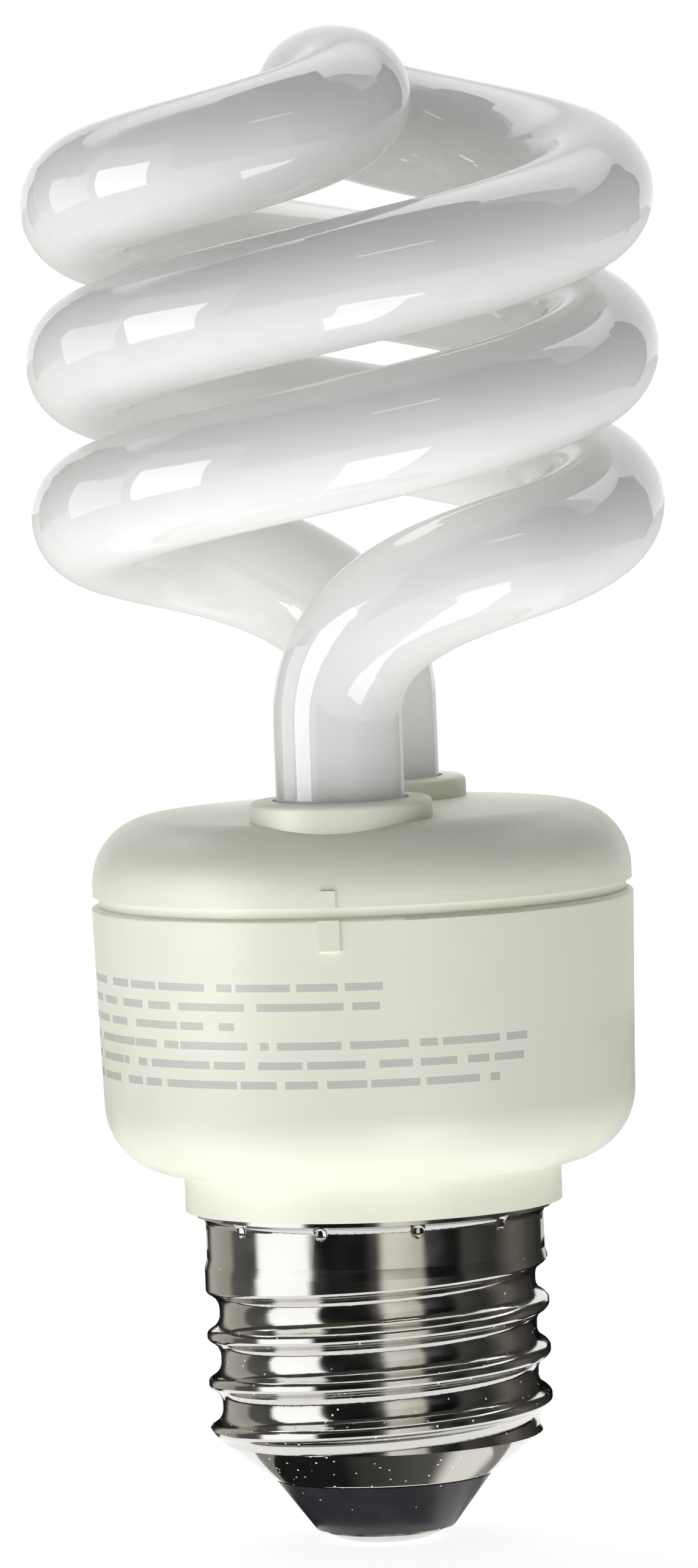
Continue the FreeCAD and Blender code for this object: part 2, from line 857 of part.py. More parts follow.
def make_choke():
    x = size("choke_x")
    length, width, yoke = size("core_length"), size("core_width"), size("core_yoke")
    core_top = board_seat - size("core_board_gap")
    core_foot = core_top - size("core_height")
    window = (core_foot + yoke, core_top - yoke)
    half_leg = size("core_leg") / 2
    outer = length / 2 - size("core_outer_leg")
    core_x = centred(x, width)
    block = box("core_block", core_x, centred(0, length), (core_foot, core_top))
    windows = [
        box("core_window_left", core_x, (half_leg, outer), window),
        box("core_window_right", core_x, (-outer, -half_leg), window),
    ]
    keep("choke_core", cut("choke_core", block, fuse("core_windows", windows)))

    gap, wall, flange = size("bobbin_gap"), size("bobbin_wall"), size("bobbin_flange")
    hole_x = centred(x, width + gap * 2)
    hole_y = centred(0, size("core_leg") + gap * 2)
    tube_x = centred(x, width + (gap + wall) * 2)
    tube_y = centred(0, size("core_leg") + (gap + wall) * 2)
    flange_x = centred(x, size("bobbin_width"))
    flange_y = centred(0, size("bobbin_length"))
    low = (window[0], window[0] + flange)
    high = (window[1] - flange, window[1])
    rail = (high[0], board_seat)
    parts = [
        box("bobbin_tube", tube_x, tube_y, window),
        box("bobbin_foot", flange_x, flange_y, low),
        box("bobbin_head", flange_x, flange_y, high),
        box("bobbin_rail_near", (hole_x[1], flange_x[1]), flange_y, rail),
        box("bobbin_rail_far", (flange_x[0], hole_x[0]), flange_y, rail),
    ]
    pin_x = ((hole_x[1] + flange_x[1]) / 2, (flange_x[0] + hole_x[0]) / 2)
    half_spacing = size("choke_pin_spacing") / 2
    for number, (px, py) in enumerate([(a, b) for a in pin_x for b in (-half_spacing, half_spacing)]):
        parts.append(cylinder("choke_pin_%d" % number, px, py, (high[0], lead_end), size("lead_radius")))
        lead_hole(px, py)
    solid = fuse("bobbin_block", parts)
    bore = box("bobbin_bore", hole_x, hole_y, (window[0], board_seat))
    keep("choke_bobbin", cut("choke_bobbin", solid, bore))

    body = new_body("choke_winding")
    sketch = sketch_on(body, "XY_Plane", "winding_outline", low[1])
    rounding = size("winding_rounding")
    left, right = centred(x, size("winding_width"))
    front, back = centred(0, size("winding_length"))
    draw_outline(sketch, [
        (left, front + rounding),
        (left + rounding, front, rounding, 1),
        (right - rounding, front),
        (right, front + rounding, rounding, 1),
        (right, back - rounding),
        (right - rounding, back, rounding, 1),
        (left + rounding, back),
        (left, back - rounding, rounding, 1),
    ])
    draw_rectangle(sketch, tube_x[0], tube_x[1], tube_y[0], tube_y[1])
    pad(body, sketch, "winding", high[0] - low[1])


make_choke()


def make_driving_transformer():
    x = size("ring_x")
    wire, gap = size("turn_wire"), size("turn_gap")
    ring_top = board_seat - wire - gap
    ring_foot = ring_top - size("ring_height")
    outer = cylinder("ring_outside", x, zero, (ring_foot, ring_top), size("ring_outer"))
    inner = cylinder("ring_inside", x, zero, (ring_foot, ring_top), size("ring_inner"))
    keep("drive_ring", cut("drive_ring", outer, inner))
    near, far = size("ring_inner") - gap, size("ring_outer") + gap
    count = int(size("winding_count").number)
    for winding in range(count):
        turns = []
        for turn in (-0.5, 0.5):
            name = "turn_%d_%d" % (winding, turn > 0)
            angle = as_size(360.0 * winding) / size("winding_count") + size("turn_spread") * turn
            side = centred(0, wire)
            hoop = box(name + "_hoop", (near - wire, far + wire), side, (ring_foot - gap - wire, board_seat))
            hole = box(name + "_hole", (near, far), side, (ring_foot - gap, board_seat - wire))
            frame = cut(name, hoop, hole)
            bind(frame, Placement__Base__x=x, Placement__Rotation__Angle=angle)
            turns.append(frame)
        group = doc.addObject("Part::Compound", "drive_winding_%d" % (winding + 1))
        group.Links = turns
        keep("drive_winding_%d" % (winding + 1), group)


make_driving_transformer()


def make_smoothing_capacitor():
    body = new_body("smoothing_capacitor")
    x = size("can_x")
    radius, edge = size("can_radius"), size("can_edge")
    foot = board_seat - size("can_height")
    groove_top = board_seat - size("can_groove_drop")
    groove_foot = groove_top - size("can_groove_height")
    groove_middle = (groove_top + groove_foot) / 2
    groove_radius = radius - size("can_groove")
    sketch = sketch_on(body, "XZ_Plane", "can_profile")
    draw_outline(sketch, [
        (x, foot),
        (x + radius - edge, foot),
        (x + radius, foot + edge, edge, 1),
        (x + radius, groove_foot),
        (x + groove_radius, groove_middle),
        (x + radius, groove_top),
        (x + radius, board_seat - edge),
        (x + radius - edge, board_seat, edge, 1),
        (x, board_seat),
    ])
    can = body.newObject("PartDesign::Revolution", "can")
    can.Profile = sketch
    axis = sketch.addGeometry(
        Part.LineSegment(point(x, foot, 0), point(x, board_seat, 0)), True
    )
    place_point(sketch, axis, 1, x, foot)
    place_point(sketch, axis, 2, x, board_seat)
    can.ReferenceAxis = (sketch, ["Axis0"])
    can.Angle = 360
    half = size("can_lead_spacing") / 2
    pad_leads(body, "leads", [(x, -half), (x, half)], board_seat - size("can_edge"))


make_smoothing_capacitor()


def make_film_capacitor(name, y):
    body = new_body(name)
    x = size("film_x")
    rounding = size("film_rounding")
    left, right = centred(x, size("film_length"))
    front, back = centred(y, size("film_width"))
    foot = board_seat - size("film_height")
    sketch = sketch_on(body, "XY_Plane", name + "_outline", foot)
    draw_outline(sketch, [
        (left, front + rounding),
        (left + rounding, front, rounding, 1),
        (right - rounding, front),
        (right, front + rounding, rounding, 1),
        (right, back - rounding),
        (right - rounding, back, rounding, 1),
        (left + rounding, back),
        (left, back - rounding, rounding, 1),
    ])
    pad(body, sketch, "block", size("film_height"))
    half = size("film_lead_spacing") / 2
    pad_leads(body, "leads", [(x - half, y), (x + half, y)], board_seat - rounding)


make_film_capacitor("resonant_capacitor", size("film_y"))
make_film_capacitor("coupling_capacitor", -size("film_y"))


def make_transistors():
    """Two plastic bodies with one flat side, each standing on three leads."""
    for name, side in (("transistor_high_side", 1), ("transistor_low_side", -1)):
        body = new_body(name)
        x, y = size("transistor_x"), size("transistor_y") * side
        radius = size("transistor_radius")
        top = board_seat - size("transistor_stand")
        foot = top - size("transistor_height")
        sketch = sketch_on(body, "XY_Plane", name + "_outline", foot)
        draw_circle(sketch, x, y, radius)
        pad(body, sketch, "moulding", size("transistor_height"))
        flat = sketch_on(body, "XY_Plane", name + "_flat", foot)
        draw_rectangle(flat, x - radius * 2, x - size("transistor_flat"), y - radius * 2, y + radius * 2)
        pocket = body.newObject("PartDesign::Pocket", "flat_side")
        pocket.Profile = flat
        pocket.Reversed = True
        bind(pocket, Length=size("transistor_height"))
        spacing = size("transistor_lead_spacing")
        pad_leads(body, "leads", [(x, y + spacing * step) for step in (-1, 0, 1)], top)


make_transistors()


def make_diode(name, y):
    """A lying diode whose two leads turn up through the board."""
    x = size("diode_x")
    radius = size("diode_radius")
    level = board_seat - size("diode_stand") - radius
    body = doc.addObject("Part::Cylinder", name + "_body")
    bind(body, Radius=radius, Height=size("diode_length"))
    body.Placement.Rotation = FreeCAD.Rotation(Vector(0, 1, 0), 90)
    bind(body, Placement__Base__x=x - size("diode_length") / 2)
    bind(body, Placement__Base__y=y, Placement__Base__z=level)
    half = size("diode_lead_span") / 2
    near, far = x - half, x + half
    route = [point(near, y, lead_end), point(near, y, level), point(far, y, level), point(far, y, lead_end)]
    path = rounded_path(route, size("lead_bend").number)
    lead = swept(name + "_lead", path, size("lead_radius"), (near, y, lead_end))
    lead_hole(near, y)
    lead_hole(far, y)
    keep(name, fuse(name, [body, lead]))


number = 0
for side in (1, -1):
    for row in (0, 1):
        number += 1
        make_diode("rectifier_diode_%d" % number, (size("diode_near") + size("diode_spacing") * row) * side)

# Supply wires: the live side runs through a sleeved resistor to the contact, the neutral to the cap


def make_live_side():
    x, y = size("wire_x"), -size("wire_y")
    top = board_seat - size("resistor_top")
    foot = top - size("resistor_length")
    cap_length, cap = size("resistor_cap_length"), size("resistor_cap_radius")
    parts = [
        cylinder("resistor_rod", x, y, (foot, top), size("resistor_radius")),
        cylinder("resistor_cap_high", x, y, (top - cap_length, top), cap),
        cylinder("resistor_cap_low", x, y, (foot, foot + cap_length), cap),
        cylinder("resistor_lead_high", x, y, (top, lead_end), size("lead_radius")),
    ]
    stem_top = insulator_base + size("contact_stem_height")
    crossing = (foot + stem_top) / 2
    lead_foot = size("contact_floor") + size("lead_hole_gap")
    route = [point(x, y, foot), point(x, y, crossing), point(0, 0, crossing), point(0, 0, lead_foot)]
    path = rounded_path(route, size("lead_bend").number)
    parts.append(swept("resistor_lead_low", path, size("lead_radius"), (x, y, foot)))
    lead_hole(x, y)
    keep("fusible_resistor", fuse("fusible_resistor", parts))
    inner = cap + size("sleeve_gap")
    span = (foot - size("sleeve_overhang"), top + size("sleeve_overhang"))
    outside = cylinder("sleeve_outside", x, y, span, inner + size("sleeve_wall"))
    keep("resistor_sleeve", cut("resistor_sleeve", outside, cylinder("sleeve_inside", x, y, span, inner)))


make_live_side()


def make_neutral_wire():
    x, y = size("wire_x"), size("wire_y")
    level = cap_rim - size("boss_height") - size("neutral_drop")
    away = math.hypot(x.number, y.number)
    reach = (thread_bore - size("neutral_end_gap")).number / away
    route = [point(x, y, lead_end), point(x, y, level), point(x * reach, y * reach, level)]
    path = rounded_path(route, size("wire_bend").number)
    keep("neutral_wire", swept("neutral_wire", path, size("lead_radius"), (x, y, lead_end)))
    lead_hole(x, y)


make_neutral_wire()

# Filament pins on the board, with each filament lead wrapped round its pin


def make_filament_ends():
    for end, outward in (("front", -1), ("back", 1)):
        for hand, side in (("left", -1), ("right", 1)):
            tail = "%s_%s" % (end, hand)
            x = size("pin_spacing") / 2 * side
            leg_y = leg_offset * outward
            pin_y = (spigot_bore - size("pin_inset")) * outward
            width = size("pin_side")
            span = (board_seat - size("lead_tail"), board_top + size("pin_height"))
            pin = box("filament_pin_" + tail, centred(x, width), centred(pin_y, width), span)
            keep("filament_pin_" + tail, pin)
            lead_hole(x, pin_y)
            hole = width + size("wrap_gap") * 2
            block = hole + size("wrap_wall") * 2
            low = board_top + size("wrap_stand")
            span = (low, low + size("wrap_height"))
            wrap = cut(
                "wrap_" + tail,
                box("wrap_block_" + tail, centred(x, block), centred(pin_y, block), span),
                box("wrap_hole_" + tail, centred(x, hole), centred(pin_y, hole), span),
            )
            finish = pin_y - (hole + size("wrap_wall")) / 2 * outward
            level = low + size("wrap_height") / 2
            route = [point(x, leg_y, leg_foot), point(x, leg_y, level), point(x, finish, level)]
            path = rounded_path(route, size("filament_bend").number)
            lead = swept("lead_" + tail, path, size("filament_lead_radius"), (x, leg_y, leg_foot))
            keep("filament_lead_" + tail, fuse("filament_lead_" + tail, [wrap, lead]))


make_filament_ends()


def make_tube_cement():
    """A bead of cement under each socket, round the foot of the leg and inside the spigot."""
    top = cover_top - size("socket_depth")
    span = (top - size("cement_depth"), top)
    reach = spigot_bore - size("tube_gap")
    for end, y in (("front", -leg_offset), ("back", leg_offset)):
        outside = cylinder("cement_outside_" + end, zero, y, span, size("cement_radius"))
        inside = cylinder("cement_inside_" + end, zero, y, span, tube_radius + size("tube_gap"))
        bead = doc.addObject("Part::MultiCommon", "cement_bead_" + end)
        bead.Shapes = [outside, cylinder("cement_limit_" + end, zero, zero, span, reach)]
        keep("tube_cement_" + end, cut("tube_cement_" + end, bead, inside))


make_tube_cement()


def make_circuit_board():
    body = new_body("circuit_board")
    sketch = sketch_on(body, "XY_Plane", "board_outline", board_seat)
    draw_circle(sketch, zero, zero, cup_foot_bore - size("board_gap"))
    pad(body, sketch, "laminate", size("board_thickness"))
    holes = sketch_on(body, "XY_Plane", "lead_circles", board_seat)
    for x, y in LEAD_PLACES:
        draw_circle(holes, x, y, size("lead_radius") + size("lead_hole_gap"))
    pocket = body.newObject("PartDesign::Pocket", "lead_holes")
    pocket.Profile = holes
    pocket.Reversed = True
    bind(pocket, Length=size("board_thickness"))


make_circuit_board()

# Every object has to be sound before a file is written

doc.recompute()
for item in doc.Objects:
    if "Invalid" in item.State or "Error" in item.State:
        raise RuntimeError("failed object: %s" % item.Label)
for name, item in NODES.items():
    if item.Shape.isNull() or not item.Shape.isValid():
        raise RuntimeError("unsound shape: %s" % name)

tube_volume = tube_line.Length * math.pi * tube_radius.number**2
if abs(NODES["discharge_tube"].Shape.Volume / tube_volume - 1) > 0.001:
    raise RuntimeError("the tube's volume differs from its section times its length")

os.makedirs("parts", exist_ok=True)
for name, item in NODES.items():
    item.Shape.exportStep("parts/%s.step" % name)
    print("%-28s %10.2f mm3  %d solids" % (name, item.Shape.Volume, len(item.Shape.Solids)))
print("%d pieces" % len(NODES))
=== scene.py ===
# %% [markdown]
# # A spiral energy saving lamp
# The lamp is a white glass spiral on an ivory plastic housing with a screw cap. The solids of
# every piece come from the CAD model and already have their real size and place. This lesson
# gives them their finishes, inside and out, and then sets up a small studio to look at them.

# %% Load the frame
import math

import bmesh
import bpy
from mathutils import Matrix, Vector


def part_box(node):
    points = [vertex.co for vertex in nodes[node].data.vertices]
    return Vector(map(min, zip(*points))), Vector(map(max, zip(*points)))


MM = 0.001
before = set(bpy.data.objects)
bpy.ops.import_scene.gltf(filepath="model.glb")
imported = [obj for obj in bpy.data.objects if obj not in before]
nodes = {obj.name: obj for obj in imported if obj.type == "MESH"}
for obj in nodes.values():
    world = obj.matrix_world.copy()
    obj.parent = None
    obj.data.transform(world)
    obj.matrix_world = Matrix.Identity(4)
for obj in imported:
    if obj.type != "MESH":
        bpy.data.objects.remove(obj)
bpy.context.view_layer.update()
scene = bpy.context.scene
print("pieces from the CAD model:", len(nodes))

# %% [markdown]
# ## Small tools for finishes
# Colours are written as sRGB hex values, as a colour picker shows them, but the shader works in
# linear light, so one function converts them. Another adds a node, sets it and links it, which
# keeps each finish short enough to read as a recipe. Inputs go by their name, or by their number
# where a node repeats a name: a Map Range node takes the value, the range it comes from (1 and 2)
# and the range it goes to (3 and 4).

# %% Colour and node helpers
def linear(hex_colour):
    """An sRGB hex value as linear red, green, blue and alpha."""
    parts = [int(hex_colour[i:i + 2], 16) / 255 for i in (1, 3, 5)]
    return [p / 12.92 if p <= 0.04045 else ((p + 0.055) / 1.055) ** 2.4 for p in parts] + [1.0]


def add(tree, kind, inputs=(), **settings):
    """Adds one shader node. What is given for an input is set or, if it is a socket, linked."""
    made = tree.nodes.new("ShaderNode" + kind)
    for name, value in settings.items():
        setattr(made, name, value)
    for name, value in dict(inputs).items():
        if isinstance(value, bpy.types.NodeSocket):
            tree.links.new(value, made.inputs[name])
        else:
            made.inputs[name].default_value = value
    return made


print("helpers ready; #808080 is", round(linear("#808080")[0], 3), "in linear light")

# %% [markdown]
# A finish is one material with a principled shader. What is the same all over a surface is set on
# the shader itself, and what changes from place to place is plugged into it. Patterns read the
# object's own coordinates, which are metres here, so a size in millimetres gives their scale.

# %% Finish helpers
def finish(name, **sockets):
    """A new material with one principled shader, and its tree and object coordinates."""
    made = bpy.data.materials.new(name)
    made.use_nodes = True
    tree = made.node_tree
    shader = tree.nodes["Principled BSDF"]
    for socket, value in sockets.items():
        shader.inputs[socket.replace("_", " ")].default_value = value
    place = add(tree, "TexCoord").outputs["Object"]
    return made, tree, shader, place


def plug(shader, **sockets):
    """Links colours and values that change over the surface to inputs of the shader."""
    for name, socket in sockets.items():
        shader.id_data.links.new(socket, shader.inputs[name.replace("_", " ")])


def per_mm(size):
    """The scale of a pattern whose features are about this many millimetres apart."""
    return 1 / (size * MM)


def dress(material, *names):
    """Gives CAD pieces their finish."""
    for name in names:
        nodes[name].data.materials.clear()
        nodes[name].data.materials.append(material)


print("a pattern of 2 mm has the scale", per_mm(2))

# %% [markdown]
# ## Clouds and dust
# Hardly any surface has one even colour, so most finishes mix two near colours by a cloud of
# noise. A lamp that was handled carries a little dust too: single pale grains, a few tenths of a
# millimetre wide. A Voronoi pattern has one random point in each cell, so the places very near to
# those points make such grains, and a random number for each cell leaves some of them out.

# %% Clouds and dust grains
SHARE, UNDER, OVER, MIXED = 0, 6, 7, 2  # inputs and output of a Mix node that is set to colours


def clouds(tree, place, size, detail, dark, pale):
    """Two near colours in clouds of about this size (mm). It returns the colour and the cloud."""
    cloud = add(tree, "TexNoise", {"Vector": place, "Scale": per_mm(size), "Detail": detail})
    fog = cloud.outputs["Fac"]
    tones = {SHARE: fog, UNDER: linear(dark), OVER: linear(pale)}
    return add(tree, "Mix", tones, data_type="RGBA").outputs[MIXED], fog


def grains(tree, place, spacing, width, share):
    """A mask of round grains of about this width, in this share of cells of this spacing (mm)."""
    cells = add(tree, "TexVoronoi", {"Vector": place, "Scale": per_mm(spacing)})
    reach = {0: cells.outputs["Distance"], 1: width / spacing / 2}
    near = add(tree, "Math", reach, operation="LESS_THAN").outputs[0]
    lot = add(tree, "SeparateColor", {0: cells.outputs["Color"]}).outputs[0]
    drawn = add(tree, "Math", {0: lot, 1: share}, operation="LESS_THAN").outputs[0]
    return add(tree, "Math", {0: near, 1: drawn}, operation="MULTIPLY").outputs[0]


print("clouds and grains ready")

# %% [markdown]
# ## Phosphor glass
# The tube is clear glass with a white powder on its inside. The eye sees an even white body under
# a perfectly smooth, glossy skin, so one surface with a white base and a low roughness does for
# both. Light passes through the powder and the hollow tube, so subsurface scattering over some
# millimetres softens the shading. Two weak clouds stand for the uneven powder and for handling
# marks, and a few grey grains of dust lie on it.

# %% Finish of the glass tube
phosphor_glass, tree, shader, place = finish(
    "phosphor_coated_soda_lime_glass", IOR=1.52,
    Subsurface_Weight=0.9, Subsurface_Radius=(1.0, 1.0, 1.0), Subsurface_Scale=10.0 * MM,
)
powder, _ = clouds(tree, place, 7, 3.0, "#EDEEEC", "#F6F7F4")
dust = grains(tree, place, spacing=6, width=0.35, share=0.18)
dusty = add(tree, "Mix", {SHARE: dust, UNDER: powder, OVER: linear("#B9B9B4")}, data_type="RGBA")
smear = add(tree, "TexNoise", {"Vector": place, "Scale": per_mm(11), "Detail": 4.0})
gloss = add(tree, "MapRange", {0: smear.outputs["Fac"], 1: 0.45, 2: 0.75, 3: 0.005, 4: 0.02})
plug(shader, Base_Color=dusty.outputs[MIXED], Roughness=gloss.outputs[0])
dress(phosphor_glass, "discharge_tube")
print("finish:", phosphor_glass.name)

# %% [markdown]
# ## Ivory housing
# The cup and the cover are moulded in a heat-proof polyester. It is a warm, slightly green white
# with a satin skin, because the mould was spark-eroded: a very fine grain breaks up the shine. The
# grain is drawn coarser than it is, so that it shows at all. Slow clouds shift the tint a little,
# as the flow of the melt does, and faint scuffs dull the skin.

# %% Finish of the cover
def ivory(name):
    """Moulded polyester. Its colour isn't plugged in yet, as something may be printed on it."""
    made, tree, shader, place = finish(
        name, IOR=1.5,
        Subsurface_Weight=0.08, Subsurface_Radius=(1.0, 0.9, 0.6), Subsurface_Scale=1.0 * MM,
    )
    grain = add(tree, "TexNoise", {"Vector": place, "Scale": per_mm(0.4), "Detail": 2.0})
    raised = {"Strength": 0.15, "Distance": 0.05 * MM, "Height": grain.outputs["Fac"]}
    rubbed = {"Vector": place, "Scale": per_mm(3), "Detail": 5.0, "Distortion": 1.0}
    scuff = add(tree, "TexNoise", rubbed).outputs["Fac"]
    satin = add(tree, "MapRange", {0: scuff, 1: 0.35, 2: 0.7, 3: 0.36, 4: 0.5})
    plug(shader, Roughness=satin.outputs[0], Normal=add(tree, "Bump", raised).outputs[0])
    tint, _ = clouds(tree, place, 12, 3.0, "#EFF1E0", "#F5F7E7")
    dust = grains(tree, place, spacing=7, width=0.3, share=0.2)
    dusty = {SHARE: dust, UNDER: tint, OVER: linear("#C9C8B8")}
    colour = add(tree, "Mix", dusty, data_type="RGBA").outputs[MIXED]
    return made, tree, shader, place, colour


cover_ivory, tree, shader, place, colour = ivory("moulded_ivory_polyester")
plug(shader, Base_Color=colour)
dress(cover_ivory, "top_cover")
print("finish:", cover_ivory.name)

# %% [markdown]
# ## Printed bars
# The front of the cup is pad-printed with six rows of plain grey bars. The surface is close to a
# cylinder, so the print is drawn in the angle round the axis and in the height. The height is
# counted in rows: its whole part is the number of the row, and the rest is the place across it.

# %% Rows round the cup
def bearing(tree, place):
    """The angle round the lamp's axis, from -Y towards +X, in radians."""
    spot = add(tree, "SeparateXYZ", {0: place}).outputs
    ahead = add(tree, "Math", {0: spot[1], 1: -1.0}, operation="MULTIPLY").outputs[0]
    return add(tree, "Math", {0: spot[0], 1: ahead}, operation="ARCTAN2").outputs[0]


ROWS, ROW_PITCH, FIRST_ROW = 6, 1.46 * MM, 44.9 * MM
cup_ivory, tree, shader, place, colour = ivory("pad_printed_ivory_polyester")
angle = bearing(tree, place)
height = add(tree, "SeparateXYZ", {0: place}).outputs[2]
counted = {0: height, 1: FIRST_ROW, 2: FIRST_ROW - ROW_PITCH, 3: 0.0, 4: 1.0}
down = add(tree, "MapRange", counted, clamp=False).outputs[0]
row = add(tree, "Math", {0: down}, operation="FLOOR").outputs[0]
across = add(tree, "Math", {0: down}, operation="FRACT").outputs[0]
print(ROWS, "rows of", round(ROW_PITCH / MM, 2), "mm")

# %% [markdown]
# Each row ends at its own angle. A colour ramp with steps can hold such a short table: the number
# of the row goes in, and the angle comes out as a shade of grey, as a part of the whole turn.

# %% Ends of the rows
def stops(ramp, interpolation, pairs):
    """Sets the stops of a colour ramp from pairs of a position and a linear colour."""
    ramp.interpolation = interpolation
    while len(ramp.elements) < len(pairs):
        ramp.elements.new(1.0)
    for element, (position, colour) in zip(ramp.elements, pairs):
        element.position, element.color = position, colour


ROW_START, ROW_ENDS = -115, [12, 10, -22, 43, 42, 36]  # degrees round the axis
numbered = add(tree, "MapRange", {0: row, 1: -0.5, 2: ROWS - 0.5}).outputs[0]
ends = add(tree, "ValToRGB", {0: numbered})
steps = [(i / ROWS, [(end + 180) / 360] * 3 + [1.0]) for i, end in enumerate(ROW_ENDS)]
stops(ends.color_ramp, "CONSTANT", steps)
turn = add(tree, "MapRange", {0: angle, 1: -math.pi, 2: math.pi}).outputs[0]
print("rows start at", ROW_START, "and end at", ROW_ENDS, "degrees")

# %% [markdown]
# Noise along the row makes the bars and the gaps between them. Its second coordinate jumps from
# row to row, so no two rows are alike. The ink lies where the bars and four masks agree: within
# the height of a bar, within the six rows, before the row's end and after its start. It is thin
# enough to let some ivory through.

# %% Finish of the cup
PRINT_RADIUS, BARS_PER_MM, ROW_JUMP, GAP_BELOW = 20.6, 0.55, 7.3, 0.43
BAR_HALF, INK_COVER = 0.2, 0.5
along = add(tree, "Math", {0: angle, 1: PRINT_RADIUS}, operation="MULTIPLY").outputs[0]
jump = add(tree, "Math", {0: row, 1: ROW_JUMP}, operation="MULTIPLY").outputs[0]
strewn = add(tree, "CombineXYZ", {0: along, 1: jump}).outputs[0]
gaps = add(tree, "TexNoise", {"Vector": strewn, "Scale": BARS_PER_MM, "Detail": 1.0}).outputs["Fac"]
ink = add(tree, "Math", {0: gaps, 1: GAP_BELOW}, operation="GREATER_THAN").outputs[0]
for operation, inputs in [
    ("COMPARE", {0: across, 1: 0.5, 2: BAR_HALF}),
    ("COMPARE", {0: row, 1: (ROWS - 1) / 2, 2: ROWS / 2}),
    ("LESS_THAN", {0: turn, 1: ends.outputs[0]}),
    ("GREATER_THAN", {0: angle, 1: math.radians(ROW_START)}),
]:
    mask = add(tree, "Math", inputs, operation=operation).outputs[0]
    ink = add(tree, "Math", {0: ink, 1: mask}, operation="MULTIPLY").outputs[0]
thin = add(tree, "Math", {0: ink, 1: INK_COVER}, operation="MULTIPLY").outputs[0]
printed = add(tree, "Mix", {SHARE: thin, UNDER: colour, OVER: linear("#9B9BA1")}, data_type="RGBA")
plug(shader, Base_Color=printed.outputs[MIXED])
dress(cup_ivory, "housing_cup")
print("finish:", cup_ivory.name, "with", len(ROW_ENDS), "rows of bars")

# %% [markdown]
# ## Screw shell
# The shell is thin brass plated with bright nickel, so it mirrors the studio and keeps only a
# faint unevenness from drawing and rolling. Its foot touches shelves and hands most, so the dust
# lies there and thins out upwards. A grain of dust isn't metal, so it also takes the shine away.

# %% Finish of the screw shell
DUST_FALL = {1: 8 * MM, 2: 20 * MM, 3: 1.0, 4: 0.06}  # from one height to another, all to few


def settled(tree, place):
    """The share of cells with a grain of dust, which falls from the foot of the cap upwards."""
    height = add(tree, "SeparateXYZ", {0: place}).outputs[2]
    return add(tree, "MapRange", {0: height, **DUST_FALL}).outputs[0]


bright_nickel, tree, shader, place = finish("bright_nickel_plate")
sheen, _ = clouds(tree, place, 6, 3.0, "#D8D7D3", "#E4E3DF")
dust = grains(tree, place, spacing=0.8, width=0.18, share=settled(tree, place))
dusty = add(tree, "Mix", {SHARE: dust, UNDER: sheen, OVER: linear("#F2F1EC")}, data_type="RGBA")
bare = add(tree, "Math", {0: 1.0, 1: dust}, operation="SUBTRACT")
wear = add(tree, "TexNoise", {"Vector": place, "Scale": per_mm(2.2), "Detail": 5.0})
polish = add(tree, "MapRange", {0: wear.outputs["Fac"], 1: 0.35, 2: 0.75, 3: 0.09, 4: 0.16})
dull = add(tree, "Math", {0: polish.outputs[0], 1: dust}, operation="MAXIMUM")
wave = add(tree, "TexNoise", {"Vector": place, "Scale": per_mm(1.8), "Detail": 1.0}).outputs["Fac"]
drawn = add(tree, "Bump", {"Strength": 0.25, "Distance": 0.02 * MM, "Height": wave})
plug(shader, Base_Color=dusty.outputs[MIXED], Metallic=bare.outputs[0])
plug(shader, Roughness=dull.outputs[0], Normal=drawn.outputs[0])
dress(bright_nickel, "screw_shell")
print("finish:", bright_nickel.name)

# %% [markdown]
# ## Insulator and contact
# The insulator is black glass that was pressed hot into the cap: its skin is satin where it met
# the tool. The contact is a dome with a skin of solder, which froze with ripples and in patches,
# some bright and some frosted.

# %% Finishes of the insulator and the contact
black_glass, tree, shader, place = finish("pressed_black_glass", IOR=1.55)
slate, haze = clouds(tree, place, 2, 5.0, "#232428", "#34353A")
dust = grains(tree, place, spacing=1.0, width=0.16, share=settled(tree, place))
dusty = add(tree, "Mix", {SHARE: dust, UNDER: slate, OVER: linear("#B9BBBD")}, data_type="RGBA")
skin = add(tree, "MapRange", {0: haze, 1: 0.3, 2: 0.75, 3: 0.22, 4: 0.42})
plug(shader, Base_Color=dusty.outputs[MIXED], Roughness=skin.outputs[0])
dress(black_glass, "base_insulator")

solder, tree, shader, place = finish("tin_solder", Metallic=1.0)
tin_skin, frost = clouds(tree, place, 1.2, 4.0, "#C4C2BD", "#E3E2DE")
ripple = add(tree, "TexNoise", {"Vector": place, "Scale": per_mm(1.6), "Detail": 2.0})
raised = {"Strength": 0.4, "Distance": 0.2 * MM, "Height": ripple.outputs["Fac"]}
frozen = add(tree, "MapRange", {0: frost, 1: 0.3, 2: 0.7, 3: 0.14, 4: 0.32}).outputs[0]
plug(shader, Base_Color=tin_skin, Roughness=frozen, Normal=add(tree, "Bump", raised).outputs[0])
dress(solder, "centre_contact")
print("finishes:", black_glass.name, solder.name)

# %% [markdown]
# ## Inside the housing
# Nobody sees these pieces until the lamp is opened, but then each should look like what it is.
# Most need the same recipe: two near colours in clouds of a fitting size, a roughness, and a
# faint relief. Where one solid holds a body and its leads, the leads start at a known height, so
# the height decides between the body's colour and bare tin.

# %% Recipe for the inner pieces
TIN = linear("#C9C8C4")


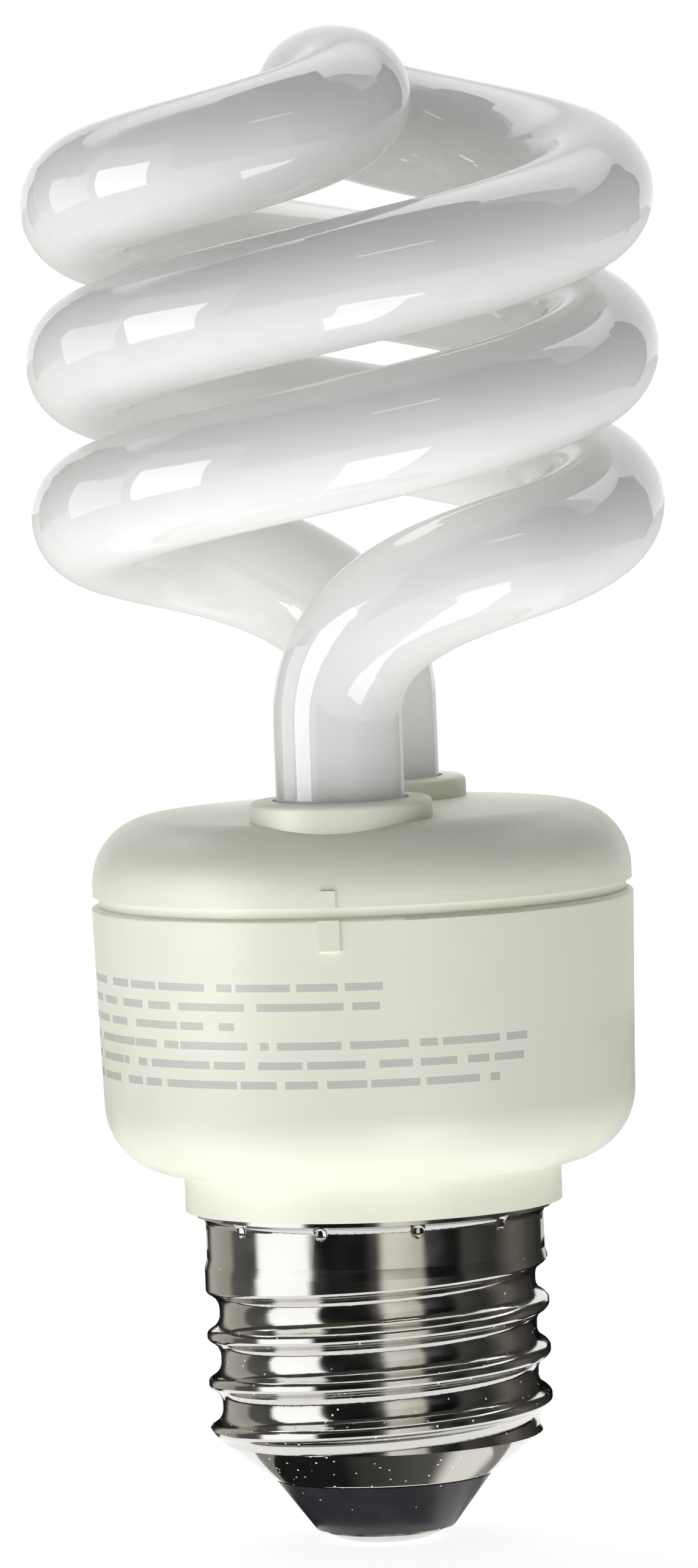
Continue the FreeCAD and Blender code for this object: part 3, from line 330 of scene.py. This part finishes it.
def mottled(name, dark, pale, spot_size, rough, metal=0.0, relief=0.1, leads_above=None):
    """A finish of two near colours, in spots of about this size (mm). Leads are bare tin."""
    made, tree, shader, place = finish(name, Metallic=metal, Roughness=rough)
    colour, spots = clouds(tree, place, spot_size, 4.0, dark, pale)
    bump = add(tree, "Bump", {"Strength": relief, "Distance": 0.1 * MM, "Height": spots})
    if leads_above is not None:
        height = add(tree, "SeparateXYZ", {0: place}).outputs[2]
        lead = add(tree, "Math", {0: height, 1: leads_above}, operation="GREATER_THAN").outputs[0]
        tinned = add(tree, "Mix", {SHARE: lead, UNDER: colour, OVER: TIN}, data_type="RGBA")
        colour = tinned.outputs[MIXED]
        plug(shader, Metallic=lead)
    plug(shader, Base_Color=colour, Normal=bump.outputs[0])
    return made


print("recipe ready; tin is", [round(c, 2) for c in TIN[:3]])

# %% [markdown]
# ## Board and supports
# The board is paper soaked in phenolic resin: dull brown with cloudy fibres. Ferrite is a dark
# ceramic with a rough sintered grain. The nylon of the choke's bobbin is smooth and milky, and the
# silicone cement round the legs of the tube is a dull, lumpy bead.

# %% Finishes of the board and its supports
board_low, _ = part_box("circuit_board")
under_board = board_low[2] - 0.1 * MM
laminate = mottled("phenolic_paper_laminate", "#8A5A2C", "#A97339", 1.2, 0.55)
dress(laminate, "circuit_board")
ferrite = mottled("sintered_ferrite", "#262527", "#3A383A", 0.5, 0.6, relief=0.4)
dress(ferrite, "choke_core", "drive_ring")
nylon = mottled("moulded_nylon", "#DAD6C8", "#E8E5DA", 4, 0.45)
dress(nylon, "choke_bobbin")
cement = mottled("silicone_cement", "#D7D5CC", "#EAE8E1", 0.9, 0.75, relief=0.6)
dress(cement, "tube_cement_front", "tube_cement_back")
print("finishes:", laminate.name, ferrite.name, nylon.name, cement.name)

# %% [markdown]
# ## Windings and wires
# Enamelled copper shines through its clear enamel, so it is a metal with a warm brown red. A
# winding is
# a coil of parallel wires: a wave pattern along the coil's axis, as wide as one wire, is raised by
# a bump, so that the turns catch the light one by one. The same wave darkens the colour in the
# grooves
# between the turns: that is painted shade, where the wires shade one another. The driving windings
# are single turns of wire in a soft, satin plastic skin, and the leads are copper wire with a
# bright coat of tin.

# %% Finishes of the windings and wires
WIRE = 0.35  # mm
WAVE = math.pi / 20  # at scale 1, a raised band of the wave pattern is this wide
copper, tree, shader, place = finish("enamelled_copper_wire", Metallic=1.0, Roughness=0.3)
coiled = {"Vector": place, "Scale": per_mm(WIRE) * WAVE}
turns = add(tree, "TexWave", coiled, bands_direction="Z").outputs["Fac"]
# painted shade: the colour is dark brown in the grooves between the turns and bright copper on
# their tops
tones = {SHARE: turns, UNDER: linear("#6E2B10"), OVER: linear("#B5602C")}
copper_with_painted_groove_shade = add(tree, "Mix", tones, data_type="RGBA").outputs[MIXED]
rounds = add(tree, "Bump", {"Strength": 0.8, "Distance": WIRE / 4 * MM, "Height": turns})
plug(shader, Base_Color=copper_with_painted_groove_shade, Normal=rounds.outputs[0])
dress(copper, "choke_winding")

drive_wire = mottled("pvc_covered_wire", "#B8912A", "#C9A63A", 3, 0.4)
dress(drive_wire, "drive_winding_1", "drive_winding_2", "drive_winding_3")
tinned_wire = mottled("tinned_copper_wire", "#B9B7B1", "#D2D0CB", 1.5, 0.25, metal=1.0)
leads = [name for name in nodes if name.startswith("filament_")]
dress(tinned_wire, "neutral_wire", *leads)
print("finishes:", copper.name, drive_wire.name, tinned_wire.name, "on", len(leads) + 5, "pieces")

# %% [markdown]
# ## Components
# The capacitors and transistors hang below the board with their leads up through it. The film
# capacitors were dipped in red epoxy, which runs to a smooth gloss. The large capacitor wears a
# shrunk plastic sleeve, and the transistors are moulded in black epoxy with a fine, dull grain.
# The sleeve of the resistor is woven from glass yarn, pale and rough.

# %% Finishes of the components
red_dip = mottled("dipped_red_epoxy", "#7E1B12", "#9C2A1D", 2.5, 0.25, leads_above=under_board)
dress(red_dip, "resonant_capacitor", "coupling_capacitor")
can_sleeve = mottled("shrunk_pvc_sleeve", "#15203C", "#1E2B4D", 5, 0.35, leads_above=under_board)
dress(can_sleeve, "smoothing_capacitor")
black_mould = mottled(
    "moulded_black_epoxy", "#1B1B1C", "#29292A", 0.4, 0.55, relief=0.3, leads_above=under_board,
)
dress(black_mould, "transistor_high_side", "transistor_low_side")
sleeve = mottled("woven_glass_sleeve", "#D9D2BE", "#ECE7D8", 0.6, 0.7, relief=0.7)
dress(sleeve, "resistor_sleeve")
print("finishes:", red_dip.name, can_sleeve.name, black_mould.name, sleeve.name)

# %% [markdown]
# A diode lies on its side, so its dull black body is where the distance from its middle is small,
# and a pale ring marks one end. The rest of it is tinned wire.

# %% Finish of the diodes
DIODE_HALF, MARK_FROM, MARK_TO = 2.1 * MM, 1.0 * MM, 1.6 * MM
diode_low, diode_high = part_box("rectifier_diode_1")
diode_middle = (diode_low[0] + diode_high[0]) / 2
diode, tree, shader, place = finish("moulded_diode_epoxy", Roughness=0.45)
side = add(tree, "SeparateXYZ", {0: place}).outputs[0]
offset = add(tree, "Math", {0: side, 1: diode_middle}, operation="SUBTRACT").outputs[0]
away = add(tree, "Math", {0: offset}, operation="ABSOLUTE").outputs[0]
lead = add(tree, "Math", {0: away, 1: DIODE_HALF}, operation="GREATER_THAN").outputs[0]
marked = {0: offset, 1: (MARK_FROM + MARK_TO) / 2, 2: (MARK_TO - MARK_FROM) / 2}
mark = add(tree, "Math", marked, operation="COMPARE").outputs[0]
mould, _ = clouds(tree, place, 0.4, 3.0, "#19191A", "#262627")
ringed = add(tree, "Mix", {SHARE: mark, UNDER: mould, OVER: linear("#C3C4C6")}, data_type="RGBA")
wired = {SHARE: lead, UNDER: ringed.outputs[MIXED], OVER: TIN}
plug(shader, Base_Color=add(tree, "Mix", wired, data_type="RGBA").outputs[MIXED], Metallic=lead)
diodes = [name for name in nodes if name.startswith("rectifier_diode")]
dress(diode, *diodes)
print("finish:", diode.name, "on", len(diodes), "pieces")

# %% [markdown]
# The resistor is lacquered in a dull blue where its sleeve is. The rest of it is bare wire.

# %% Finish of the resistor
sleeve_low, sleeve_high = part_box("resistor_sleeve")
middle, half = (sleeve_low[2] + sleeve_high[2]) / 2, (sleeve_high[2] - sleeve_low[2]) / 2
resistor, tree, shader, place = finish("lacquered_resistor", Roughness=0.35)
height = add(tree, "SeparateXYZ", {0: place}).outputs[2]
sleeved = add(tree, "Math", {0: height, 1: middle, 2: half}, operation="COMPARE").outputs[0]
coat, _ = clouds(tree, place, 1.5, 3.0, "#5C7F8C", "#7295A1")
coated = add(tree, "Mix", {SHARE: sleeved, UNDER: TIN, OVER: coat}, data_type="RGBA")
wire = add(tree, "Math", {0: 1.0, 1: sleeved}, operation="SUBTRACT")
plug(shader, Base_Color=coated.outputs[MIXED], Metallic=wire.outputs[0])
dress(resistor, "fusible_resistor")
undressed = [name for name, piece in nodes.items() if not any(piece.data.materials)]
print("finish:", resistor.name, "; pieces without a finish:", undressed)

# %% [markdown]
# ## A white floor
# The floor is a light table. It shows white to the eye, to the metal and to the glass, and throws
# soft light up at the lamp. How white it shows and how much light it throws are set one by one,
# because a node can tell what a ray is for: to look at something, or to gather the light that
# falls on a matt surface.

# %% Studio helpers
def stage_piece(name, bm, material):
    """Makes a piece of the studio, which isn't part of the lamp."""
    mesh = bpy.data.meshes.new(name)
    bm.to_mesh(mesh)
    bm.free()
    mesh.materials.append(material)
    piece = bpy.data.objects.new(name, mesh)
    scene.collection.objects.link(piece)
    return piece


def seen(tree):
    """One where the eye, a mirror or glass looks, and zero where light only bounces."""
    path = add(tree, "LightPath").outputs
    rays = {0: path["Is Camera Ray"], 1: path["Is Glossy Ray"]}
    either = add(tree, "Math", rays, operation="MAXIMUM").outputs[0]
    rays = {0: either, 1: path["Is Transmission Ray"]}
    return add(tree, "Math", rays, operation="MAXIMUM").outputs[0]


def unlit(name):
    """An empty material for a surface that makes its own light, and its tree."""
    made = bpy.data.materials.new(name)
    made.use_nodes = True
    made.node_tree.nodes.clear()
    return made, made.node_tree


print("studio helpers ready")

# %% [markdown]
# Most of the light comes from close to the middle, and less from farther out. The floor keeps the
# lamp's shadow, because only a part of its brightness is its own glow. The rest is light that a
# matt grey reflects.

# %% Floor
FLOOR_HALF, FLOOR_GREY = 3.0, [0.25, 0.25, 0.25, 1.0]
SHOWN = {1: 0.05, 2: 0.4, 3: 0.9, 4: 1.0}  # from one distance to another, from near to far
THROWN = {1: 0.04, 2: 0.25, 3: 1.18, 4: 0.98}
table, tree = unlit("light_table")
place = add(tree, "TexCoord").outputs["Object"]
away = add(tree, "VectorMath", {0: place}, operation="LENGTH").outputs["Value"]
shown = add(tree, "MapRange", {0: away, **SHOWN}).outputs[0]
thrown = add(tree, "MapRange", {0: away, **THROWN}).outputs[0]
level = add(tree, "MapRange", {0: seen(tree), 3: thrown, 4: shown}).outputs[0]
glow = add(tree, "Emission", {"Strength": level})
matt = add(tree, "BsdfDiffuse", {"Color": FLOOR_GREY})
both = add(tree, "AddShader", {0: glow.outputs[0], 1: matt.outputs[0]})
add(tree, "OutputMaterial", {"Surface": both.outputs[0]})
bm = bmesh.new()
bmesh.ops.create_grid(bm, x_segments=1, y_segments=1, size=FLOOR_HALF)
stage_piece("floor", bm, table)
print("floor of", 2 * FLOOR_HALF, "m")

# %% [markdown]
# The air around shows white as well, but it gives hardly any light, or the lamp would lose the
# shading that makes it look round.

# %% Air
AIR_LIGHT = 0.09
world = bpy.data.worlds.new("studio")
scene.world = world
world.use_nodes = True
tree = world.node_tree
tree.nodes.clear()
sky = add(tree, "MapRange", {0: seen(tree), 3: AIR_LIGHT, 4: 1.0}).outputs[0]
air = add(tree, "Background", {"Color": linear("#FFFFFF"), "Strength": sky})
add(tree, "OutputWorld", {"Surface": air.outputs[0]})
print("white air with", AIR_LIGHT, "of its light")

# %% [markdown]
# ## Cards for the metal and the glass
# In an all white room a mirror looks like white paint. In a studio, dark and grey cards stand
# round such a thing, and it shows them as stripes. Here each card is an edge that is spun part of
# the way round the lamp: an upright edge gives a bent wall, and a lying one gives a sector of the
# floor or of the ceiling. Only mirrors see the cards: they cast no shadow and send no light to
# matt surfaces.

# %% Card helpers
def card(name, start, end, foot, head, material):
    """Spins the edge from foot to head (radius, height) between two angles, from -Y to +X."""
    bm = bmesh.new()
    ends = [bm.verts.new((0, -radius, height)) for radius, height in (foot, head)]
    edge = bm.edges.new(ends)
    begin = Matrix.Rotation(math.radians(start), 3, "Z")
    bmesh.ops.rotate(bm, verts=ends, cent=(0, 0, 0), matrix=begin)
    bmesh.ops.spin(
        bm, geom=[*ends, edge], cent=(0, 0, 0), axis=(0, 0, 1),
        angle=math.radians(end - start), steps=max(2, int((end - start) / 5)),
    )
    piece = stage_piece(name, bm, material)
    piece.visible_camera = piece.visible_transmission = False
    piece.visible_diffuse = piece.visible_shadow = False


def shine(tree, colour, strength):
    """Ends an unlit material with light of this colour and strength."""
    glow = add(tree, "Emission", {"Color": colour, "Strength": strength})
    add(tree, "OutputMaterial", {"Surface": glow.outputs[0]})


def tone(name, colour, strength=1.0):
    """An even card colour."""
    made, tree = unlit(name)
    shine(tree, linear(colour), strength)
    return made


black = tone("black_card", "#0A0A0B")
deep = tone("dark_card", "#3B3A38")
grey = tone("grey_card", "#8B8880")
print("card colours:", black.name, deep.name, grey.name)

# %% [markdown]
# The glass mirrors what is far away: dark and grey walls in front and at the sides, a dark ceiling
# that ends a little behind the lamp, and a pale sheet on the floor behind it. At a grazing angle
# glass is a full mirror, so the sheet draws the edges of the tube against the white.

# %% Far cards
FAR, FAR_TOP, CEILING, CEILING_EDGE, CEILING_END = 0.42, 0.36, 0.45, 0.12, 0.6
SHEET, FOOT, LOW, PANEL = 0.3 * MM, 0.4 * MM, 0.5 * MM, 0.6 * MM  # heights of lying cards
walls = [
    ("left", -143, -86, grey),
    ("middle", -33, 8, black),
    ("front", 8, 43, grey),
    ("edge", 43, 64, black),
    ("right", 64, 149, deep),
]
for name, start, end, material in walls:
    card("wall_" + name, start, end, (FAR, LOW), (FAR, FAR_TOP), material)
card("sheet", 60, 300, (0.08, SHEET), (2.0, SHEET), tone("pale_sheet", "#CFCFCB"))
card("ceiling", -180, 180, (0.001, CEILING), (CEILING_EDGE, CEILING), deep)
card("front_ceiling", -100, 100, (CEILING_EDGE, CEILING), (CEILING_END, CEILING), deep)
print("far cards:", len(walls), "walls, a sheet and a ceiling")

# %% [markdown]
# The cap stands so low that it mirrors the floor long before the far walls. A low ring close to it
# and a dark patch on the floor take their place. Both are painted with a soft-edged ramp round
# the angle, so that the stripes on the metal fade into one another. The ring is black at its foot
# and dark at its top, so each turn of the thread shows the stripes as a lens between dark lines.

# %% Ring round the cap
def painted(name, stripes, strength):
    """A card colour that changes softly with the angle round the lamp (degrees, colour)."""
    made, tree = unlit(name)
    angle = bearing(tree, add(tree, "TexCoord").outputs["Object"])
    turn = add(tree, "MapRange", {0: angle, 1: -math.pi, 2: math.pi}).outputs[0]
    ramp = add(tree, "ValToRGB", {0: turn})
    stops(ramp.color_ramp, "EASE", [((at + 180) / 360, linear(tint)) for at, tint in stripes])
    shine(tree, ramp.outputs[0], strength)
    return made


RING_START, RING_END = -132, 138
RING, RING_FOOT, RING_HEAD, RING_TOP = 0.030, 3 * MM, 29 * MM, 38 * MM
ring_stripes = [
    (-180, "#22211F"), (-126, "#22211F"), (-116, "#A09D95"), (-90, "#8E8B83"), (-84, "#4A4843"),
    (-66, "#3C3A36"), (-62, "#FFFFFF"), (-31, "#FFFFFF"), (-27, "#0A0A0B"), (0, "#0E0E0E"),
    (7, "#3A3835"), (12, "#C4C1B8"), (31, "#A9A59B"), (35, "#0A0A0B"), (51, "#0A0A0B"),
    (58, "#3A3834"), (75, "#2A2927"), (95, "#5A5751"), (115, "#3A3834"), (130, "#262523"),
    (150, "#22211F"),
]
bands = [
    ("ring", RING_FOOT, RING_HEAD, painted("painted_ring", ring_stripes, 1.3)),
    ("ring_foot", LOW, RING_FOOT, black),
    ("ring_top", RING_HEAD, RING_TOP, deep),
]
for name, low, high, material in bands:
    card(name, RING_START, RING_END, (RING, low), (RING, high), material)
card("ring_back", RING_END, 228, (RING, 6 * MM), (RING, 20 * MM), black)
print("ring with", len(ring_stripes), "colours")

# %% [markdown]
# The bowl of the cap looks down and mirrors the patch: dark in front and at the left, grey towards
# the right and pale at the right edge.

# %% Patch under the cap
PATCH_IN, PATCH_OUT, PATCH_EDGE = 0.006, 0.0115, 0.014
floor_stripes = [
    (-180, "#FFFFFF"), (-140, "#E6E4DE"), (-118, "#161615"), (-30, "#161615"), (-5, "#3A3936"),
    (45, "#55534E"), (66, "#EFEDE8"), (95, "#EFEDE8"), (115, "#8E8B84"), (150, "#FFFFFF"),
]
patch = painted("painted_floor", floor_stripes, 1.0)
card("foot", -180, 180, (PATCH_IN, FOOT), (PATCH_OUT, FOOT), patch)
card("foot_edge", -150, 150, (PATCH_OUT, FOOT), (PATCH_EDGE, FOOT), grey)
print("patch with", len(floor_stripes), "colours")

# %% [markdown]
# The bright patches on the glass are mirrored lights. Each is a bright card: a box at the left, a
# dimmer one beside it, a panel on the floor in front, and a thin strip high up. Behind the edge of
# the dark ceiling a bright one begins and fades away backwards. It draws the white bands along the
# upper side of the coil.

# %% Bright cards
BACK_FADE = {1: 0.466, 2: 0.75, 3: 3.5, 4: 1.0}  # from one distance to another, bright to dim
bright_cards = [
    ("box", -73, -43, (0.20, 12 * MM), (0.20, 0.13), "bright_box", 6.0),
    ("side_box", -110, -79, (0.25, 2 * MM), (0.25, 0.13), "dim_box", 1.9),
    ("panel", 12, 44, (0.042, PANEL), (0.15, PANEL), "floor_panel", 5.0),
    ("strip", 7, 39, (0.30, 0.33), (0.30, 0.355), "high_strip", 3.5),
]
for name, start, end, foot, head, label, strength in bright_cards:
    card(name, start, end, foot, head, tone(label, "#FFFFFF", strength))
back_light, tree = unlit("back_light")
place = add(tree, "TexCoord").outputs["Object"]
away = add(tree, "VectorMath", {0: place}, operation="LENGTH").outputs["Value"]
fading = add(tree, "MapRange", {0: away, **BACK_FADE}).outputs[0]
shine(tree, linear("#FFFFFF"), fading)
card("back_box", 120, 250, (CEILING_EDGE, CEILING), (CEILING_END, CEILING), back_light)
print("bright cards:", len(bright_cards), "and the back box")

# %% [markdown]
# ## Lights
# Most of the light comes from the floor. A small box low at the left gives the housing its pale
# side, and a wall and a high box at the back light the edges. So the lamp's upper front is its
# darkest side and its lower sides are the palest. A light's power is worked out from the
# brightness of its face, which is easier to judge.

# %% Lights
def softbox(name, azimuth, height, distance, width, tall, radiance, aim_height):
    """A rectangular light that faces a point on the lamp's axis. Azimuths go from -Y to +X."""
    light = bpy.data.lights.new(name, "AREA")
    light.shape = "RECTANGLE"
    light.size, light.size_y = width, tall
    light.energy = radiance * math.pi * width * tall
    turn = math.radians(azimuth)
    spot = Vector((math.sin(turn) * distance, -math.cos(turn) * distance, height))
    aim = Vector((0, 0, aim_height)) - spot
    lamp = bpy.data.objects.new(name, light)
    scene.collection.objects.link(lamp)
    lamp.location = spot
    lamp.rotation_euler = aim.to_track_quat("-Z", "Y").to_euler()
    lamp.visible_camera = lamp.visible_glossy = False


softbox(
    "key", azimuth=-33, height=0.035, distance=0.26,
    width=0.21, tall=0.065, radiance=3.0, aim_height=0.075,
)
softbox(
    "back_wall", azimuth=200, height=0.35, distance=0.55,
    width=0.6, tall=0.6, radiance=1.1, aim_height=0.10,
)
softbox(
    "high_box", azimuth=190, height=0.50, distance=0.20,
    width=0.5, tall=0.3, radiance=1.9, aim_height=0.10,
)
print("lights: key, back wall and high box")

# %% [markdown]
# ## Camera
# The camera stands almost level with the lamp, far away with a long lens, and leans a little. Its
# three axes are worked out from the angles and set as one matrix.

# %% Camera
azimuth, pitch, roll = math.radians(7.2), math.radians(4.017), math.radians(-2.14)
distance, height = 0.885, 0.120
camera_data = bpy.data.cameras.new("camera")
camera_data.lens = 267.6
camera_data.sensor_width = 36.0
camera_data.shift_x = -0.006
camera = bpy.data.objects.new("camera", camera_data)
scene.collection.objects.link(camera)
scene.camera = camera
level = math.cos(pitch)
ahead = Vector((-math.sin(azimuth) * level, math.cos(azimuth) * level, -math.sin(pitch)))
side = ahead.cross(Vector((0, 0, 1))).normalized()
top = side.cross(ahead)
right = side * math.cos(roll) + top * math.sin(roll)
up = top * math.cos(roll) - side * math.sin(roll)
spot = Vector((math.sin(azimuth) * distance, -math.cos(azimuth) * distance, height))
camera.matrix_world = Matrix((
    (right.x, up.x, -ahead.x, spot.x),
    (right.y, up.y, -ahead.y, spot.y),
    (right.z, up.z, -ahead.z, spot.z),
    (0, 0, 0, 1),
))
scene.view_settings.view_transform = "Standard"
print("camera at", [round(c, 3) for c in spot])
